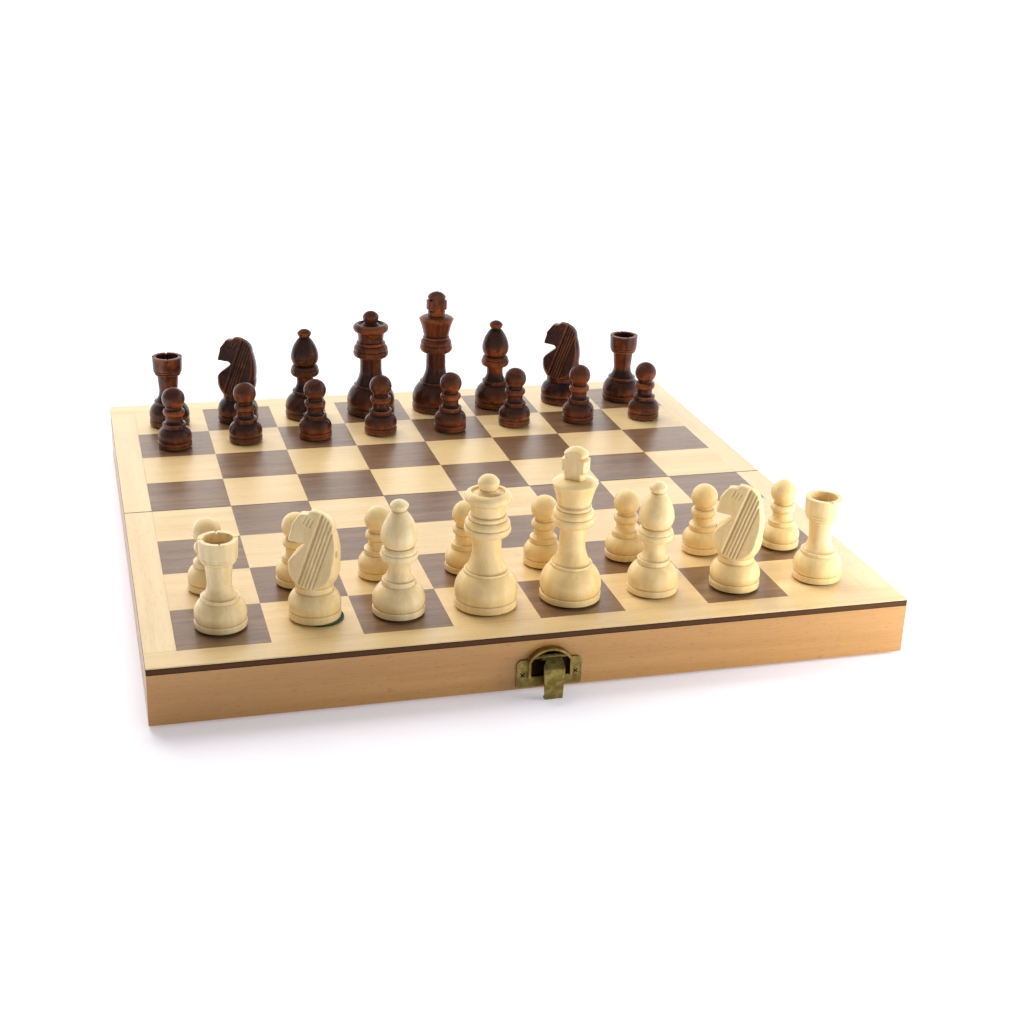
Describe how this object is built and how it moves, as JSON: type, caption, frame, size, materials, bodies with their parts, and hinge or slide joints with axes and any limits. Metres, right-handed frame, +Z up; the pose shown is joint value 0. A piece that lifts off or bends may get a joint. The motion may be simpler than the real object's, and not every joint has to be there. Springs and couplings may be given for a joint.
{
  "type": "folding chess box",
  "caption": "Folding wooden chess box lying open as a board: two hinged trays, an inlaid playing surface, a brass hook catch and turned wooden chessmen.",
  "frame": {"origin": "centre of the box's outer size in plan, catch and keeper included, on the surface it lies on", "axes": "+Z up out of the playing surface, +X along the fold, +Y from the catch towards the rear half"},
  "size_m": [0.2902, 0.3034, 0.085],
  "materials": {
    "hdf": "dark brown hardboard, bare edges",
    "beech_veneer": "satin lacquer over beech veneer",
    "walnut_veneer": "satin lacquer over walnut veneer",
    "beech_rail": "satin lacquer over solid beech",
    "green_felt": "short-pile felt",
    "antique_brass": "antiqued, olive brown",
    "boxwood": "satin varnish, green felt under the base",
    "stained_wood": "mahogany stain rubbed through, semi-gloss, green felt under the base"
  },
  "bodies": {
    "front_tray": {"front_board_core": "hdf", "front_light_squares": "beech_veneer", "front_dark_squares": "walnut_veneer", "front_border": "beech_veneer", "front_outer_rail": "beech_rail", "front_hinge_rail": "beech_rail", "front_side_rails": "beech_rail", "front_lining": "green_felt", "catch_plate": "antique_brass", "catch_pin": "antique_brass", "catch_screws": "antique_brass", "hinge_front_leaves": "antique_brass", "hinge_pins": "antique_brass", "hinge_front_screws": "antique_brass"},
    "rear_tray": {"rear_board_core": "hdf", "rear_light_squares": "beech_veneer", "rear_dark_squares": "walnut_veneer", "rear_border": "beech_veneer", "rear_outer_rail": "beech_rail", "rear_hinge_rail": "beech_rail", "rear_side_rails": "beech_rail", "rear_lining": "green_felt", "keeper_plate": "antique_brass", "keeper_screws": "antique_brass", "hinge_rear_leaves": "antique_brass", "hinge_rear_screws": "antique_brass"},
    "hook": {"catch_hook": "antique_brass"},
    "light_rook_a_piece": {"light_rook_a": "boxwood"},
    "light_knight_b_piece": {"light_knight_b": "boxwood"},
    "light_bishop_c_piece": {"light_bishop_c": "boxwood"},
    "light_queen_piece": {"light_queen": "boxwood"},
    "light_king_piece": {"light_king": "boxwood"},
    "light_bishop_f_piece": {"light_bishop_f": "boxwood"},
    "light_knight_g_piece": {"light_knight_g": "boxwood"},
    "light_rook_h_piece": {"light_rook_h": "boxwood"},
    "light_pawn_a_piece": {"light_pawn_a": "boxwood"},
    "light_pawn_b_piece": {"light_pawn_b": "boxwood"},
    "light_pawn_c_piece": {"light_pawn_c": "boxwood"},
    "light_pawn_d_piece": {"light_pawn_d": "boxwood"},
    "light_pawn_e_piece": {"light_pawn_e": "boxwood"},
    "light_pawn_f_piece": {"light_pawn_f": "boxwood"},
    "light_pawn_g_piece": {"light_pawn_g": "boxwood"},
    "light_pawn_h_piece": {"light_pawn_h": "boxwood"},
    "dark_rook_a_piece": {"dark_rook_a": "stained_wood"},
    "dark_knight_b_piece": {"dark_knight_b": "stained_wood"},
    "dark_bishop_c_piece": {"dark_bishop_c": "stained_wood"},
    "dark_queen_piece": {"dark_queen": "stained_wood"},
    "dark_king_piece": {"dark_king": "stained_wood"},
    "dark_bishop_f_piece": {"dark_bishop_f": "stained_wood"},
    "dark_knight_g_piece": {"dark_knight_g": "stained_wood"},
    "dark_rook_h_piece": {"dark_rook_h": "stained_wood"},
    "dark_pawn_a_piece": {"dark_pawn_a": "stained_wood"},
    "dark_pawn_b_piece": {"dark_pawn_b": "stained_wood"},
    "dark_pawn_c_piece": {"dark_pawn_c": "stained_wood"},
    "dark_pawn_d_piece": {"dark_pawn_d": "stained_wood"},
    "dark_pawn_e_piece": {"dark_pawn_e": "stained_wood"},
    "dark_pawn_f_piece": {"dark_pawn_f": "stained_wood"},
    "dark_pawn_g_piece": {"dark_pawn_g": "stained_wood"},
    "dark_pawn_h_piece": {"dark_pawn_h": "stained_wood"}
  },
  "joints": [
    {"name": "board_fold", "type": "hinge", "parent": "front_tray", "child": "rear_tray", "pos_m": [0, 0.00202, 0.0012], "axis": [-1, 0, 0], "range_deg": [0, 180]},
    {"name": "catch_swing", "type": "hinge", "parent": "front_tray", "child": "hook", "pos_m": [0, -0.14567, 0.0148], "axis": [-1, 0, 0], "range_deg": [-12, 50]},
    {"name": "lift_light_rook_a", "type": "slide", "parent": "front_tray", "child": "light_rook_a_piece", "axis": [0, 0, 1], "range_m": [0, 0.08]},
    {"name": "lift_light_knight_b", "type": "slide", "parent": "front_tray", "child": "light_knight_b_piece", "axis": [0, 0, 1], "range_m": [0, 0.08]},
    {"name": "lift_light_bishop_c", "type": "slide", "parent": "front_tray", "child": "light_bishop_c_piece", "axis": [0, 0, 1], "range_m": [0, 0.08]},
    {"name": "lift_light_queen", "type": "slide", "parent": "front_tray", "child": "light_queen_piece", "axis": [0, 0, 1], "range_m": [0, 0.08]},
    {"name": "lift_light_king", "type": "slide", "parent": "front_tray", "child": "light_king_piece", "axis": [0, 0, 1], "range_m": [0, 0.08]},
    {"name": "lift_light_bishop_f", "type": "slide", "parent": "front_tray", "child": "light_bishop_f_piece", "axis": [0, 0, 1], "range_m": [0, 0.08]},
    {"name": "lift_light_knight_g", "type": "slide", "parent": "front_tray", "child": "light_knight_g_piece", "axis": [0, 0, 1], "range_m": [0, 0.08]},
    {"name": "lift_light_rook_h", "type": "slide", "parent": "front_tray", "child": "light_rook_h_piece", "axis": [0, 0, 1], "range_m": [0, 0.08]},
    {"name": "lift_light_pawn_a", "type": "slide", "parent": "front_tray", "child": "light_pawn_a_piece", "axis": [0, 0, 1], "range_m": [0, 0.08]},
    {"name": "lift_light_pawn_b", "type": "slide", "parent": "front_tray", "child": "light_pawn_b_piece", "axis": [0, 0, 1], "range_m": [0, 0.08]},
    {"name": "lift_light_pawn_c", "type": "slide", "parent": "front_tray", "child": "light_pawn_c_piece", "axis": [0, 0, 1], "range_m": [0, 0.08]},
    {"name": "lift_light_pawn_d", "type": "slide", "parent": "front_tray", "child": "light_pawn_d_piece", "axis": [0, 0, 1], "range_m": [0, 0.08]},
    {"name": "lift_light_pawn_e", "type": "slide", "parent": "front_tray", "child": "light_pawn_e_piece", "axis": [0, 0, 1], "range_m": [0, 0.08]},
    {"name": "lift_light_pawn_f", "type": "slide", "parent": "front_tray", "child": "light_pawn_f_piece", "axis": [0, 0, 1], "range_m": [0, 0.08]},
    {"name": "lift_light_pawn_g", "type": "slide", "parent": "front_tray", "child": "light_pawn_g_piece", "axis": [0, 0, 1], "range_m": [0, 0.08]},
    {"name": "lift_light_pawn_h", "type": "slide", "parent": "front_tray", "child": "light_pawn_h_piece", "axis": [0, 0, 1], "range_m": [0, 0.08]},
    {"name": "lift_dark_rook_a", "type": "slide", "parent": "rear_tray", "child": "dark_rook_a_piece", "axis": [0, 0, 1], "range_m": [0, 0.08]},
    {"name": "lift_dark_knight_b", "type": "slide", "parent": "rear_tray", "child": "dark_knight_b_piece", "axis": [0, 0, 1], "range_m": [0, 0.08]},
    {"name": "lift_dark_bishop_c", "type": "slide", "parent": "rear_tray", "child": "dark_bishop_c_piece", "axis": [0, 0, 1], "range_m": [0, 0.08]},
    {"name": "lift_dark_queen", "type": "slide", "parent": "rear_tray", "child": "dark_queen_piece", "axis": [0, 0, 1], "range_m": [0, 0.08]},
    {"name": "lift_dark_king", "type": "slide", "parent": "rear_tray", "child": "dark_king_piece", "axis": [0, 0, 1], "range_m": [0, 0.08]},
    {"name": "lift_dark_bishop_f", "type": "slide", "parent": "rear_tray", "child": "dark_bishop_f_piece", "axis": [0, 0, 1], "range_m": [0, 0.08]},
    {"name": "lift_dark_knight_g", "type": "slide", "parent": "rear_tray", "child": "dark_knight_g_piece", "axis": [0, 0, 1], "range_m": [0, 0.08]},
    {"name": "lift_dark_rook_h", "type": "slide", "parent": "rear_tray", "child": "dark_rook_h_piece", "axis": [0, 0, 1], "range_m": [0, 0.08]},
    {"name": "lift_dark_pawn_a", "type": "slide", "parent": "rear_tray", "child": "dark_pawn_a_piece", "axis": [0, 0, 1], "range_m": [0, 0.08]},
    {"name": "lift_dark_pawn_b", "type": "slide", "parent": "rear_tray", "child": "dark_pawn_b_piece", "axis": [0, 0, 1], "range_m": [0, 0.08]},
    {"name": "lift_dark_pawn_c", "type": "slide", "parent": "rear_tray", "child": "dark_pawn_c_piece", "axis": [0, 0, 1], "range_m": [0, 0.08]},
    {"name": "lift_dark_pawn_d", "type": "slide", "parent": "rear_tray", "child": "dark_pawn_d_piece", "axis": [0, 0, 1], "range_m": [0, 0.08]},
    {"name": "lift_dark_pawn_e", "type": "slide", "parent": "rear_tray", "child": "dark_pawn_e_piece", "axis": [0, 0, 1], "range_m": [0, 0.08]},
    {"name": "lift_dark_pawn_f", "type": "slide", "parent": "rear_tray", "child": "dark_pawn_f_piece", "axis": [0, 0, 1], "range_m": [0, 0.08]},
    {"name": "lift_dark_pawn_g", "type": "slide", "parent": "rear_tray", "child": "dark_pawn_g_piece", "axis": [0, 0, 1], "range_m": [0, 0.08]},
    {"name": "lift_dark_pawn_h", "type": "slide", "parent": "rear_tray", "child": "dark_pawn_h_piece", "axis": [0, 0, 1], "range_m": [0, 0.08]}
  ]
}
